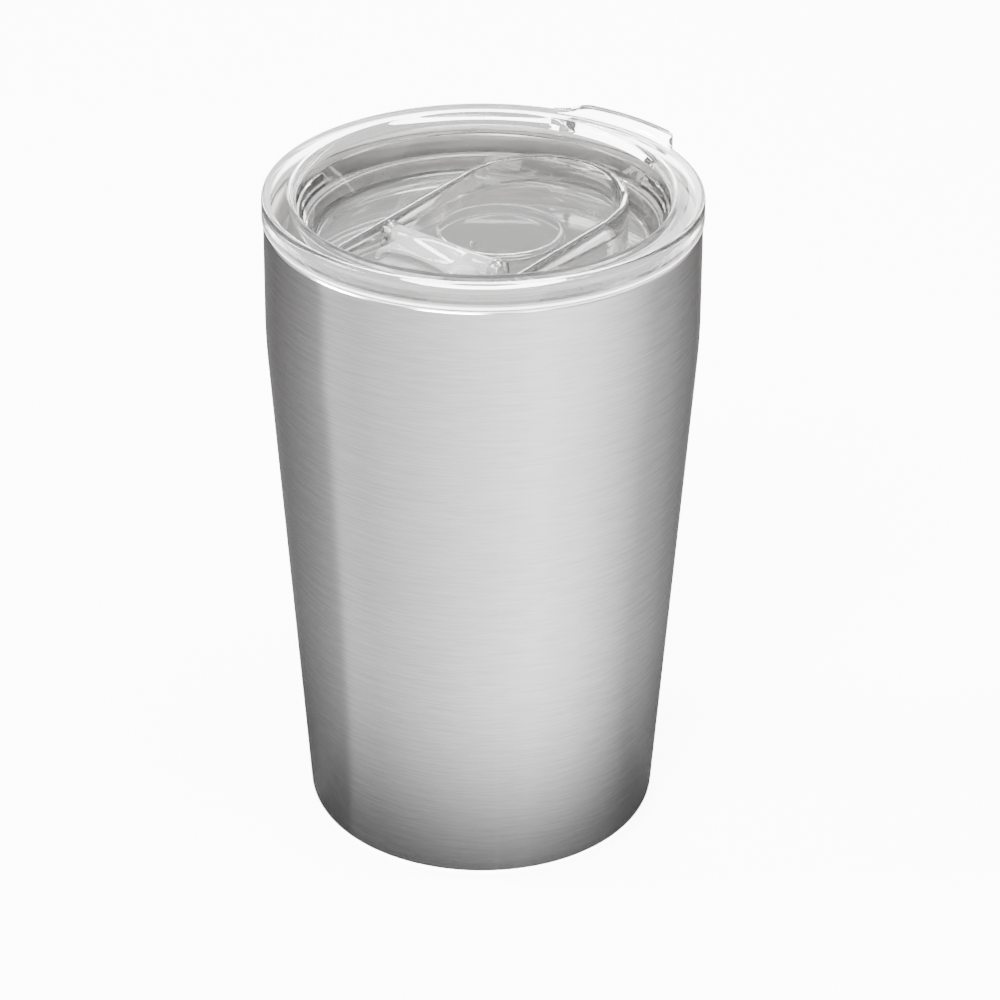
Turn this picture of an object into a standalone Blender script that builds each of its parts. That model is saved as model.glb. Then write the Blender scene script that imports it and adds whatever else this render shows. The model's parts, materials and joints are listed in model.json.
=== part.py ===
"""Insulated tumbler with a clear press-in lid and a flip lever.

Units are metres and +Z is up. The tumbler stands on z = 0 with its axis on Z.
The lid's lift tab points to +Y and its drinking side to -Y.
"""

import math

import bmesh
import bpy
from mathutils import Matrix

OBJECT_NAME = "insulated_tumbler"
STEPS = 48
MERGE = 0.00001
GAP = 0.0003
MOULDED_EDGE = 0.0004

# Steel body: a cylinder at the mouth, a soft shoulder and a cone down to the base.
RIM_RADIUS = 0.0435
RIM_HEIGHT = 0.1328
CONE_RADIUS_AT_FLOOR = 0.03545
SHOULDER_HEIGHT = 0.1077
SHOULDER_BLEND = 0.005
CONE_SLOPE = (RIM_RADIUS - CONE_RADIUS_AT_FLOOR) / SHOULDER_HEIGHT
BASE_FILLET = 0.0045
OUTER_WALL = 0.0006
INNER_WALL = 0.0005
WALL_TOTAL = 0.0039
LIP_JOINT_RADIUS = 0.0419
LIP_CHAMFER = 0.0004
LINER_LIP_RADIUS = 0.002
LINER_FLOOR = 0.0075
LINER_FILLET = 0.007

# Base: a plate welded into the shell, with the evacuation port under a flat cover.
BASE_OPENING_RADIUS = 0.0312
COVER_RADIUS = 0.0255
COVER_THICKNESS = 0.0005
PLATE_THICKNESS = 0.0006
PLATE_RAISE = 0.0024
PLATE_STEP_RADIUS = 0.0259
PORT_RADIUS = 0.0015
SEAL_RADIUS = 0.003
SEAL_THICKNESS = 0.0009
GETTER_RADIUS = 0.004
GETTER_THICKNESS = 0.0015
GETTER_OFFSET = 0.014

# Radiation foil wrapped round the liner.
FOIL_OFFSET = 0.003
FOIL_THICKNESS = 0.00015
FOIL_BOTTOM = 0.015
FOIL_TOP = 0.124

# Lid body, a clear moulding: flange, well, plug wall and underside pocket.
LID_TOP = 0.1384
LID_RADIUS = 0.0438
LID_EDGE = 0.0012
SKIRT_BOTTOM = RIM_HEIGHT + GAP
SKIRT_INNER_RADIUS = 0.0419
SKIRT_CHAMFER = 0.0006
FLANGE_UNDERSIDE = 0.1359
PLUG_RADIUS = 0.0384
PLUG_INNER_RADIUS = 0.0366
PLUG_BOTTOM = 0.122
PLUG_CHAMFER = 0.0005
GROOVE_RADIUS = 0.0375
GROOVE_LOW = 0.1263
GROOVE_HIGH = 0.1295
WELL_EDGE = 0.0018
WELL_TOP_RADIUS = 0.0371
WELL_LEDGE_HEIGHT = 0.1345
WELL_LEDGE_RADIUS = 0.0364
FLOOR_TOP = 0.127
FLOOR_BOTTOM = 0.1252
FLOOR_RADIUS = 0.0324
FLOOR_FILLET = 0.0015
POCKET_TOP = 0.1298

# Lift tab on the flange: round outer corners, and hollow blends that sink a little into the flange.
TAB_RADIUS = 0.048
TAB_INNER_RADIUS = 0.0427
TAB_CORNER = 0.004
TAB_CORNER_ANGLE = 11.3
TAB_BLEND = 0.005
TAB_SINK = 0.0003
TAB_TOP = LID_TOP - GAP
TAB_BOTTOM = 0.1346

# Guard rib round the lever's parking place, higher at its closed end.
RIB_HALF_WIDTH = 0.018
RIB_THICKNESS = 0.0018
RIB_BEND_Y = 0.016
RIB_FRONT_Y = -0.024
RIB_BACK_HEIGHT = 0.1328
RIB_FRONT_HEIGHT = 0.1286

# Round parking pad that the open lever lies over, with a dished top and the vent near its front edge.
PAD_Y = 0.0052
PAD_RADIUS = 0.013
PAD_TOP = 0.1282
PAD_EDGE = 0.001
PAD_DISH_RADIUS = 0.0112
PAD_DISH_DEPTH = 0.0002
VENT_RADIUS = 0.0008
VENT_PLACE = (0.0, -0.0032)

# Flip lever and its hinge.
HINGE_Y = -0.0118
HINGE_Z = 0.1293
BARREL_RADIUS = 0.002
BARREL_HALF = 0.0125
TRUNNION_RADIUS = 0.0011
TRUNNION_HALF = 0.014
EAR_INNER = 0.0128
EAR_OUTER = 0.0148
EAR_RADIUS = 0.0025
HOOD_FRONT_Y = -0.0205
HOOD_HALF_WIDTH = 0.0108
HOOD_FOOT = 0.1274
HOOD_TOP = 0.1318
HOOD_WALL = 0.0012
HOOD_DISH_RADIUS = 0.007
HOOD_DISH_DEPTH = 0.0006
TONGUE_HALF_WIDTH = 0.0086
TONGUE_TIP_RADIUS = 0.0304
TONGUE_LOW = FLOOR_TOP + GAP
TONGUE_HIGH = 0.1284

# Drinking slot, the lever's plug boss and its seal ring.
SLOT_Y = -0.0265
SLOT_RADIUS = 0.003
SLOT_HALF_STRAIGHT = 0.004
BOSS_RADIUS = 0.0011
BOSS_FLANGE_RADIUS = 0.0019
BOSS_BOTTOM = 0.1252
BOSS_FLANGE_TOP = 0.1257
SEAL_RING_LOW = 0.126
SEAL_RING_HIGH = 0.127

BRUSHED_STEEL = ((0.62, 0.62, 0.63), 1.0, 0.32, 0.0)
COPPER = ((0.72, 0.43, 0.3), 1.0, 0.3, 0.0)
GLASS_SOLDER = ((0.2, 0.22, 0.24), 0.0, 0.2, 0.0)
GETTER_METAL = ((0.35, 0.35, 0.36), 1.0, 0.6, 0.0)
CLEAR_PLASTIC = ((0.95, 0.94, 0.93), 0.0, 0.05, 1.0)
CLEAR_SILICONE = ((0.93, 0.93, 0.92), 0.0, 0.35, 0.6)


def clear_scene():
    for obj in list(bpy.data.objects):
        bpy.data.objects.remove(obj)


def new_collection(name):
    collection = bpy.data.collections.new(name)
    bpy.context.scene.collection.children.link(collection)
    return collection


def material(name, finish):
    colour, metallic, roughness, transmission = finish
    made = bpy.data.materials.new(name)
    made.use_nodes = True
    shader = made.node_tree.nodes["Principled BSDF"]
    shader.inputs["Base Color"].default_value = (*colour, 1.0)
    shader.inputs["Metallic"].default_value = metallic
    shader.inputs["Roughness"].default_value = roughness
    shader.inputs["Transmission Weight"].default_value = transmission
    return made


def arc(centre, radius, start_deg, end_deg, count):
    """Points of an arc, both ends included, angles in degrees from the first axis."""
    angles = [math.radians(start_deg + (end_deg - start_deg) * i / count) for i in range(count + 1)]
    return [(centre[0] + radius * math.cos(a), centre[1] + radius * math.sin(a)) for a in angles]


def body_radius(z):
    """Outer radius of the steel body at height z, without the base fillet."""
    above = z - SHOULDER_HEIGHT
    if above >= SHOULDER_BLEND:
        return RIM_RADIUS
    if above <= -SHOULDER_BLEND:
        return RIM_RADIUS + CONE_SLOPE * above
    return RIM_RADIUS - CONE_SLOPE * (SHOULDER_BLEND - above) ** 2 / (4 * SHOULDER_BLEND)


def body_wall(inset, top, bottom):
    """Profile points of a wall set inwards from the body's surface, from top to bottom."""
    blend = [SHOULDER_HEIGHT + SHOULDER_BLEND * k / 2 for k in (2, 1, 0, -1, -2)]
    heights = [top] + [z for z in blend if bottom < z < top] + [bottom]
    return [(body_radius(z) - inset, z) for z in heights]


def mesh_object(name, collection, points, edges):
    mesh = bpy.data.meshes.new(name)
    mesh.from_pydata(points, edges, [])
    obj = bpy.data.objects.new(name, mesh)
    collection.objects.link(obj)
    return obj


def turned(name, collection, profile, closed=False, steps=STEPS):
    """A turned shape: a profile of (radius, height) points, swept round Z."""
    count = len(profile)
    edges = [(i, i + 1) for i in range(count - 1)]
    if closed:
        edges.append((count - 1, 0))
    obj = mesh_object(name, collection, [(r, 0.0, z) for r, z in profile], edges)
    screw = obj.modifiers.new("turn", "SCREW")
    screw.steps = steps
    screw.render_steps = steps
    screw.use_merge_vertices = True
    screw.merge_threshold = MERGE
    screw.use_smooth_shade = True
    return obj


def thicken(obj, thickness):
    """Give an open surface its wall, behind its face."""
    shell = obj.modifiers.new("wall", "SOLIDIFY")
    shell.thickness = thickness
    shell.offset = -1.0
    shell.use_even_offset = True


def bevel(obj, width):
    """Chamfer the sharp edges of a moulded feature."""
    rounded = obj.modifiers.new("edges", "BEVEL")
    rounded.width = width
    rounded.segments = 1
    rounded.limit_method = "ANGLE"
    rounded.angle_limit = math.radians(40)


def flat_solid(name, collection, outlines, low, high, frame=None):
    """An extruded outline, from low to high along the frame's own Z."""
    curve = bpy.data.curves.new(name, "CURVE")
    curve.dimensions = "2D"
    curve.fill_mode = "BOTH"
    curve.extrude = (high - low) / 2
    for outline in outlines:
        spline = curve.splines.new("POLY")
        spline.points.add(len(outline) - 1)
        for point, (x, y) in zip(spline.points, outline):
            point.co = (x, y, 0.0, 1.0)
        spline.use_cyclic_u = True
    guide = bpy.data.objects.new(name + "_outline", curve)
    collection.objects.link(guide)
    place = Matrix.Translation((0.0, 0.0, (low + high) / 2))
    guide.matrix_world = (frame or Matrix.Identity(4)) @ place
    bpy.context.view_layer.update()
    graph = bpy.context.evaluated_depsgraph_get()
    mesh = bpy.data.meshes.new_from_object(guide.evaluated_get(graph))
    mesh.name = name
    welded = bmesh.new()
    welded.from_mesh(mesh)
    bmesh.ops.remove_doubles(welded, verts=welded.verts, dist=MERGE)
    welded.to_mesh(mesh)
    welded.free()
    obj = bpy.data.objects.new(name, mesh)
    obj.matrix_world = guide.matrix_world
    collection.objects.link(obj)
    bpy.data.objects.remove(guide)
    return obj


def rod(name, collection, radius, half_length, y, z, sides=24):
    """A round bar along X, centred on x = 0."""
    mesh = bpy.data.meshes.new(name)
    bar = bmesh.new()
    bmesh.ops.create_cone(
        bar, cap_ends=True, segments=sides, radius1=radius, radius2=radius, depth=2 * half_length,
        matrix=Matrix.Rotation(math.radians(90), 4, "Y"),
    )
    bar.to_mesh(mesh)
    bar.free()
    obj = bpy.data.objects.new(name, mesh)
    obj.location = (0.0, y, z)
    collection.objects.link(obj)
    return obj


def combine(target, tool, operation):
    """Boolean the tool into the target; the tool stays as a hidden guide."""
    step = target.modifiers.new(tool.name, "BOOLEAN")
    step.operation = operation
    step.solver = "EXACT"
    step.object = tool
    tool.hide_render = True
    tool.display_type = "WIRE"


def stadium(radius, half_straight, centre_y, count=8):
    """Outline of a slot that lies along X."""
    right = arc((half_straight, centre_y), radius, -90, 90, count)
    left = arc((-half_straight, centre_y), radius, 90, 270, count)
    return right + left


def across_x():
    """Frame whose own X, Y and Z lie along world Y, Z and X."""
    return Matrix(((0, 0, 1, 0), (1, 0, 0, 0), (0, 1, 0, 0), (0, 0, 0, 1)))


def across_y():
    """Frame whose own X, Y and Z lie along world X, Z and -Y."""
    return Matrix.Rotation(math.radians(90), 4, "X")


def outer_shell(parts):
    wall_angle = math.degrees(math.atan(CONE_SLOPE))
    lip_foot = RIM_HEIGHT - LIP_CHAMFER
    lip = [(LIP_JOINT_RADIUS, RIM_HEIGHT), (RIM_RADIUS - LIP_CHAMFER, RIM_HEIGHT), (RIM_RADIUS, lip_foot)]
    fillet_centre = (body_radius(BASE_FILLET) - BASE_FILLET / math.cos(math.radians(wall_angle)), BASE_FILLET)
    fillet = arc(fillet_centre, BASE_FILLET, -wall_angle, -90, 5)
    wall = body_wall(0.0, lip_foot, SHOULDER_HEIGHT - SHOULDER_BLEND)[1:]
    profile = lip + wall + fillet + [(BASE_OPENING_RADIUS, 0.0)]
    shell = turned("outer_shell", parts, profile)
    thicken(shell, OUTER_WALL)
    return shell


def inner_liner(parts):
    inset = WALL_TOTAL - INNER_WALL
    lip_centre = (RIM_RADIUS - WALL_TOTAL + LINER_LIP_RADIUS, RIM_HEIGHT - LINER_LIP_RADIUS)
    lip = arc(lip_centre, LINER_LIP_RADIUS - INNER_WALL, 90, 180, 4)
    wall = body_wall(inset, lip_centre[1], LINER_FLOOR + LINER_FILLET)[1:-1]
    fillet_radius = LINER_FILLET + INNER_WALL
    bottom = LINER_FLOOR - INNER_WALL
    fillet_centre = (body_radius(bottom + fillet_radius) - inset - fillet_radius, bottom + fillet_radius)
    fillet = arc(fillet_centre, fillet_radius, 0, -90, 5)
    liner = turned("inner_liner", parts, lip + wall + fillet + [(0.0, bottom)])
    thicken(liner, INNER_WALL)
    return liner


def radiation_foil(parts):
    foil = turned("radiation_foil", parts, body_wall(FOIL_OFFSET, FOIL_TOP, FOIL_BOTTOM))
    thicken(foil, FOIL_THICKNESS)
    return foil


def base_plate(parts):
    rim = BASE_OPENING_RADIUS - GAP
    low_step = PLATE_STEP_RADIUS + PLATE_THICKNESS
    top = PLATE_RAISE + PLATE_THICKNESS
    profile = [
        (PORT_RADIUS, top), (low_step, top), (low_step, PLATE_THICKNESS), (rim, PLATE_THICKNESS),
        (rim, 0.0), (PLATE_STEP_RADIUS, 0.0), (PLATE_STEP_RADIUS, PLATE_RAISE), (PORT_RADIUS, PLATE_RAISE),
    ]
    return turned("base_plate", parts, profile, closed=True)


def base_cover(parts):
    edge = 0.0001
    profile = [
        (0.0, COVER_THICKNESS), (COVER_RADIUS, COVER_THICKNESS), (COVER_RADIUS, edge),
        (COVER_RADIUS - edge, 0.0), (0.0, 0.0),
    ]
    return turned("base_cover", parts, profile)


def vacuum_seal(parts):
    top = PLATE_RAISE - GAP
    low = top - SEAL_THICKNESS
    middle = top - SEAL_THICKNESS / 2
    profile = [(0.0, top), (SEAL_RADIUS, top), (SEAL_RADIUS, middle), (SEAL_RADIUS / 2, low), (0.0, low)]
    return turned("vacuum_seal", parts, profile, steps=24)


def getter_tablet(parts):
    low = PLATE_RAISE + PLATE_THICKNESS + GAP
    high = low + GETTER_THICKNESS
    profile = [(0.0, high), (GETTER_RADIUS, high), (GETTER_RADIUS, low), (0.0, low)]
    tablet = turned("getter_tablet", parts, profile, steps=24)
    tablet.location = (GETTER_OFFSET, 0.0, 0.0)
    return tablet


def lid_profile():
    """Lid section, from the well's floor over the flange to the floor's underside."""
    well_rise = WELL_LEDGE_HEIGHT - FLOOR_TOP - FLOOR_FILLET
    well_spread = WELL_LEDGE_RADIUS - FLOOR_RADIUS - FLOOR_FILLET
    slope = math.degrees(math.atan2(well_rise, well_spread))
    floor_corner = arc((FLOOR_RADIUS, FLOOR_TOP + FLOOR_FILLET), FLOOR_FILLET, -90, slope - 90, 3)
    ledge = [(WELL_LEDGE_RADIUS, WELL_LEDGE_HEIGHT), (WELL_TOP_RADIUS - 0.0003, WELL_LEDGE_HEIGHT + 0.0001)]
    well_edge = arc((WELL_TOP_RADIUS + WELL_EDGE, LID_TOP - WELL_EDGE), WELL_EDGE, 180, 90, 4)
    rim_edge = arc((LID_RADIUS - LID_EDGE, LID_TOP - LID_EDGE), LID_EDGE, 90, 0, 3)
    skirt = [
        (LID_RADIUS, SKIRT_BOTTOM + SKIRT_CHAMFER), (LID_RADIUS - SKIRT_CHAMFER, SKIRT_BOTTOM),
        (SKIRT_INNER_RADIUS, SKIRT_BOTTOM),
    ]
    channel = [(SKIRT_INNER_RADIUS, FLANGE_UNDERSIDE), (PLUG_RADIUS, FLANGE_UNDERSIDE)]
    groove = [
        (PLUG_RADIUS, GROOVE_HIGH), (GROOVE_RADIUS, GROOVE_HIGH),
        (GROOVE_RADIUS, GROOVE_LOW), (PLUG_RADIUS, GROOVE_LOW),
    ]
    plug_end = [
        (PLUG_RADIUS, PLUG_BOTTOM + PLUG_CHAMFER), (PLUG_RADIUS - PLUG_CHAMFER, PLUG_BOTTOM),
        (PLUG_INNER_RADIUS, PLUG_BOTTOM),
    ]
    well_wall = FLOOR_TOP - FLOOR_BOTTOM
    lean = well_spread / well_rise
    pocket_low = FLOOR_BOTTOM + well_wall
    pocket_low_radius = FLOOR_RADIUS + well_wall
    pocket_top_radius = pocket_low_radius + lean * (POCKET_TOP - pocket_low) + 0.0004
    pocket = [(PLUG_INNER_RADIUS, POCKET_TOP), (pocket_top_radius, POCKET_TOP), (pocket_low_radius, pocket_low)]
    under = [(FLOOR_RADIUS, FLOOR_BOTTOM), (0.0, FLOOR_BOTTOM)]
    top = [(0.0, FLOOR_TOP)] + floor_corner + ledge + well_edge + rim_edge
    return top + skirt + channel + groove + plug_end + pocket + under


def polar(radius, degrees):
    return (radius * math.cos(math.radians(degrees)), radius * math.sin(math.radians(degrees)))


def tab_side(count):
    """Right side of the tab: a hollow blend out of the flange, then the round corner."""
    corner_reach = TAB_RADIUS - TAB_CORNER
    blend_reach = LID_RADIUS - TAB_SINK + TAB_BLEND
    apart = TAB_CORNER + TAB_BLEND
    cosine = (corner_reach ** 2 + blend_reach ** 2 - apart ** 2) / (2 * corner_reach * blend_reach)
    corner_bearing = 90 - TAB_CORNER_ANGLE
    blend_bearing = corner_bearing - math.degrees(math.acos(cosine))
    corner = polar(corner_reach, corner_bearing)
    blend = polar(blend_reach, blend_bearing)
    way = math.degrees(math.atan2(blend[1] - corner[1], blend[0] - corner[0]))
    hollow = arc(blend, TAB_BLEND, blend_bearing + 180, way + 180, count)
    inner_end = polar(TAB_INNER_RADIUS, blend_bearing)
    return [inner_end] + hollow + arc(corner, TAB_CORNER, way, corner_bearing, count)[1:]


def lift_tab(cutters):
    """Tab that stands out of the flange, with rounded outer corners."""
    right = tab_side(4)
    left = [(-x, y) for x, y in reversed(right)]
    outer = arc((0.0, 0.0), TAB_RADIUS, 90 - TAB_CORNER_ANGLE, 90 + TAB_CORNER_ANGLE, 6)[1:-1]
    side = math.degrees(math.atan2(right[0][0], right[0][1]))
    inner = arc((0.0, 0.0), TAB_INNER_RADIUS, 90 + side, 90 - side, 8)[1:-1]
    tab = flat_solid("tab_shape", cutters, [right + outer + left + inner], TAB_BOTTOM, TAB_TOP)
    bevel(tab, MOULDED_EDGE)
    return tab


def guard_rib(cutters):
    """U-shaped rib on the well's floor, open towards the drinking side."""
    outer = RIB_HALF_WIDTH + RIB_THICKNESS / 2
    inner = RIB_HALF_WIDTH - RIB_THICKNESS / 2
    outline = [(outer, RIB_FRONT_Y)] + arc((0.0, RIB_BEND_Y), outer, 0, 180, 16)
    outline += [(-outer, RIB_FRONT_Y), (-inner, RIB_FRONT_Y)]
    outline += arc((0.0, RIB_BEND_Y), inner, 180, 0, 16) + [(inner, RIB_FRONT_Y)]
    rib = flat_solid("rib_shape", cutters, [outline], FLOOR_TOP - 0.0005, RIB_BACK_HEIGHT + 0.002)
    back = RIB_BEND_Y + outer
    tilt = math.atan2(RIB_BACK_HEIGHT - RIB_FRONT_HEIGHT, back - RIB_FRONT_Y)
    half = 0.05
    depth = 0.01
    square = [(-half, -half), (half, -half), (half, half), (-half, half)]
    plane = Matrix.Translation((0.0, back, RIB_BACK_HEIGHT)) @ Matrix.Rotation(tilt, 4, "X")
    slope = flat_solid("rib_slope", cutters, [square], 0.0, depth, plane @ Matrix.Translation((0.0, -0.03, 0.0)))
    combine(rib, slope, "DIFFERENCE")
    return rib


def parking_pad(cutters):
    """Round pad with a bevelled edge and a shallow dish in its top."""
    dish_steps = 4
    dish = []
    for i in range(dish_steps + 1):
        share = i / dish_steps
        dish.append((PAD_DISH_RADIUS * share, PAD_TOP - PAD_DISH_DEPTH * (1 - share * share)))
    foot = FLOOR_TOP - 0.0005
    edge = [(PAD_RADIUS - PAD_EDGE, PAD_TOP), (PAD_RADIUS, PAD_TOP - PAD_EDGE), (PAD_RADIUS, foot), (0.0, foot)]
    pad = turned("pad_shape", cutters, dish + edge, steps=40)
    pad.location = (0.0, PAD_Y, 0.0)
    return pad


def hinge_ear(cutters, side):
    """One ear of the hinge: a post with a round top, drawn across X."""
    name = "ear_right" if side > 0 else "ear_left"
    top = arc((HINGE_Y, HINGE_Z), EAR_RADIUS, 0, 180, 10)
    foot = FLOOR_TOP - 0.0005
    outline = [(HINGE_Y + EAR_RADIUS, foot)] + top + [(HINGE_Y - EAR_RADIUS, foot)]
    low, high = sorted((side * EAR_INNER, side * EAR_OUTER))
    ear = flat_solid(name, cutters, [outline], low, high, across_x())
    bevel(ear, MOULDED_EDGE)
    return ear


def lid_body(parts, cutters):
    lid = turned("lid_body", parts, lid_profile())
    combine(lid, lift_tab(cutters), "UNION")
    combine(lid, guard_rib(cutters), "UNION")
    combine(lid, parking_pad(cutters), "UNION")
    for side in (-1, 1):
        combine(lid, hinge_ear(cutters, side), "UNION")
    bore_half = TRUNNION_HALF + GAP
    bore = rod("hinge_bore", cutters, TRUNNION_RADIUS + GAP, bore_half, HINGE_Y, HINGE_Z)
    combine(lid, bore, "DIFFERENCE")
    slot = stadium(SLOT_RADIUS, SLOT_HALF_STRAIGHT, SLOT_Y)
    combine(lid, flat_solid("slot_cut", cutters, [slot], FLOOR_BOTTOM - 0.001, FLOOR_TOP + 0.001), "DIFFERENCE")
    vent = arc(VENT_PLACE, VENT_RADIUS, 0, 337.5, 15)
    combine(lid, flat_solid("vent_cut", cutters, [vent], FLOOR_BOTTOM - 0.001, PAD_TOP + 0.001), "DIFFERENCE")
    return lid


def lid_gasket(parts):
    """Silicone ring with two lips, in the plug's groove."""
    inner = GROOVE_RADIUS + GAP
    outer = RIM_RADIUS - WALL_TOTAL - GAP
    low = GROOVE_LOW + GAP
    high = GROOVE_HIGH - GAP
    height = high - low
    lip = 0.0005
    profile = [
        (inner, high), (outer - lip, high), (outer, high - height * 0.2), (outer - lip, high - height * 0.4),
        (outer - lip, low + height * 0.4), (outer, low + height * 0.2), (outer - lip, low), (inner, low),
    ]
    return turned("lid_gasket", parts, profile, closed=True)


def arch(half_width, foot, top, count=16, power=2.6):
    """Half of a rounded box outline, from the right foot over the top to the left foot."""
    points = []
    for i in range(count + 1):
        a = math.pi * i / count
        c = math.cos(a)
        s = math.sin(a)
        x = half_width * math.copysign(abs(c) ** (2 / power), c)
        points.append((x, foot + (top - foot) * abs(s) ** (2 / power)))
    return points


def lever_hood(cutters):
    """Arched grip over the tongue, dished between the barrel and its front lip."""
    outside = arch(HOOD_HALF_WIDTH, HOOD_FOOT, HOOD_TOP)
    inside = arch(HOOD_HALF_WIDTH - HOOD_WALL, HOOD_FOOT, HOOD_TOP - HOOD_WALL)
    outline = outside + inside[::-1]
    hood = flat_solid("hood_shape", cutters, [outline], -HINGE_Y, -HOOD_FRONT_Y, across_y())
    middle_y = (HINGE_Y - BARREL_RADIUS + HOOD_FRONT_Y) / 2
    dish_z = HOOD_TOP - HOOD_DISH_DEPTH + HOOD_DISH_RADIUS
    dish = rod("hood_dish", cutters, HOOD_DISH_RADIUS, 0.02, middle_y, dish_z, sides=48)
    combine(hood, dish, "DIFFERENCE")
    return hood


def lever_tongue(cutters):
    """Flat tongue on the floor, with a tip that follows the well's wall."""
    reach = math.degrees(math.asin(TONGUE_HALF_WIDTH / TONGUE_TIP_RADIUS))
    tip = arc((0.0, 0.0), TONGUE_TIP_RADIUS, -90 - reach, -90 + reach, 8)
    outline = [(-TONGUE_HALF_WIDTH, HINGE_Y)] + tip + [(TONGUE_HALF_WIDTH, HINGE_Y)]
    return flat_solid("tongue_shape", cutters, [outline], TONGUE_LOW, TONGUE_HIGH)


def flip_lever(parts, cutters):
    lever = rod("flip_lever", parts, BARREL_RADIUS, BARREL_HALF, HINGE_Y, HINGE_Z)
    combine(lever, rod("trunnions", cutters, TRUNNION_RADIUS, TRUNNION_HALF, HINGE_Y, HINGE_Z), "UNION")
    combine(lever, lever_hood(cutters), "UNION")
    combine(lever, lever_tongue(cutters), "UNION")
    boss = stadium(BOSS_RADIUS, SLOT_HALF_STRAIGHT, SLOT_Y)
    combine(lever, flat_solid("boss_shape", cutters, [boss], BOSS_BOTTOM + 0.0001, TONGUE_LOW + 0.0005), "UNION")
    flange = stadium(BOSS_FLANGE_RADIUS, SLOT_HALF_STRAIGHT, SLOT_Y)
    combine(lever, flat_solid("boss_flange", cutters, [flange], BOSS_BOTTOM, BOSS_FLANGE_TOP), "UNION")
    return lever


def plug_seal(parts):
    """Silicone ring round the lever's boss, which closes the drinking slot."""
    outside = stadium(SLOT_RADIUS - GAP, SLOT_HALF_STRAIGHT, SLOT_Y)
    inside = stadium(BOSS_RADIUS + GAP, SLOT_HALF_STRAIGHT, SLOT_Y)
    return flat_solid("plug_seal", parts, [outside, inside], SEAL_RING_LOW, SEAL_RING_HIGH)


def build():
    clear_scene()
    parts = new_collection(OBJECT_NAME)
    cutters = new_collection(OBJECT_NAME + "_guides")
    steel = material("brushed_steel", BRUSHED_STEEL)
    clear = material("clear_plastic", CLEAR_PLASTIC)
    silicone = material("clear_silicone", CLEAR_SILICONE)
    made = (
        (outer_shell(parts), steel),
        (inner_liner(parts), steel),
        (radiation_foil(parts), material("copper_foil", COPPER)),
        (base_plate(parts), steel),
        (base_cover(parts), steel),
        (vacuum_seal(parts), material("glass_solder", GLASS_SOLDER)),
        (getter_tablet(parts), material("getter_metal", GETTER_METAL)),
        (lid_body(parts, cutters), clear),
        (lid_gasket(parts), silicone),
        (flip_lever(parts, cutters), clear),
        (plug_seal(parts), silicone),
    )
    for obj, finish in made:
        obj.data.materials.append(finish)


build()
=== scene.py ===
"""Looks of the insulated tumbler: smooth brushed steel, a clear moulded lid and lever, studio light and a
card of painted reflections.

The CAD model is the frame. The steel and the clear mouldings are remade here from the same section,
with finer edges; nothing is moved or resized.
"""

import json
import math

import bmesh
import bpy
from mathutils import Matrix, Quaternion, Vector

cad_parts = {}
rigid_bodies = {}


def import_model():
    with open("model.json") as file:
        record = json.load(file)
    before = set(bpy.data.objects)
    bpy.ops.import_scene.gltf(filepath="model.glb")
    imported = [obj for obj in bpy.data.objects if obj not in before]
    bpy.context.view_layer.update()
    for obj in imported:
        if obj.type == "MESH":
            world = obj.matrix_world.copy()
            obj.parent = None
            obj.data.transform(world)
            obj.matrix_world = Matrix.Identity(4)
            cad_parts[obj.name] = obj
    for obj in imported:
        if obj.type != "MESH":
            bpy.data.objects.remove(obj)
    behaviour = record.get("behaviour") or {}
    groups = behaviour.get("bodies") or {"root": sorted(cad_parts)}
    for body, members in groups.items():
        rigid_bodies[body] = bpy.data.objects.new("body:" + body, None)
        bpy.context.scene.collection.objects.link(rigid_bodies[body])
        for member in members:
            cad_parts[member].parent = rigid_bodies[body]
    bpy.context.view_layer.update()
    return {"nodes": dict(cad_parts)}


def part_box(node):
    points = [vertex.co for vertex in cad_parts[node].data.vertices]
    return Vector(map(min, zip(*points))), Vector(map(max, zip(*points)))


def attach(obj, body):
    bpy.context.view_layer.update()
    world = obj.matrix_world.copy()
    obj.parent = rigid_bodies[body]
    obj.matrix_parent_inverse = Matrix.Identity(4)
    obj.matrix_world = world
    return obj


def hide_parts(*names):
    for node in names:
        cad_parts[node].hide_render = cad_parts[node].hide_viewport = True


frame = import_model()

STEPS = 256
MERGE = 0.000001
GAP = 0.0003

# Steel body.
RIM_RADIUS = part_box("outer_shell")[1][0]
RIM_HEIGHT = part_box("outer_shell")[1][2]
CONE_RADIUS_AT_FLOOR = 0.03545
SHOULDER_HEIGHT = 0.1077
SHOULDER_BLEND = 0.005
CONE_SLOPE = (RIM_RADIUS - CONE_RADIUS_AT_FLOOR) / SHOULDER_HEIGHT
BASE_FILLET = 0.0045
BASE_OPENING_RADIUS = 0.0312
OUTER_WALL = 0.0006
INNER_WALL = 0.0005
WALL_TOTAL = 0.0039
LIP_JOINT_RADIUS = 0.0419
LIP_CHAMFER = 0.0004
LINER_LIP_RADIUS = 0.002
LINER_FLOOR = 0.0075
LINER_FILLET = 0.007

# Lid body.
LID_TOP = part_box("lid_body")[1][2]
LID_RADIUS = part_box("lid_body")[1][0]
LID_EDGE = 0.0012
SKIRT_BOTTOM = RIM_HEIGHT + GAP
SKIRT_INNER_RADIUS = 0.0419
SKIRT_CHAMFER = 0.0006
FLANGE_UNDERSIDE = 0.1359
PLUG_RADIUS = 0.0384
PLUG_INNER_RADIUS = 0.0366
PLUG_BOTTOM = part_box("lid_body")[0][2]
PLUG_CHAMFER = 0.0005
GROOVE_RADIUS = 0.0375
GROOVE_LOW = 0.1263
GROOVE_HIGH = 0.1295
WELL_EDGE = 0.0018
WELL_TOP_RADIUS = 0.0371
WELL_LEDGE_HEIGHT = 0.1345
WELL_LEDGE_RADIUS = 0.0364
WELL_STEP_INSET = 0.0003
WELL_STEP_RISE = 0.0001
FLOOR_TOP = 0.127
FLOOR_BOTTOM = 0.1252
FLOOR_RADIUS = 0.0324
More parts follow.
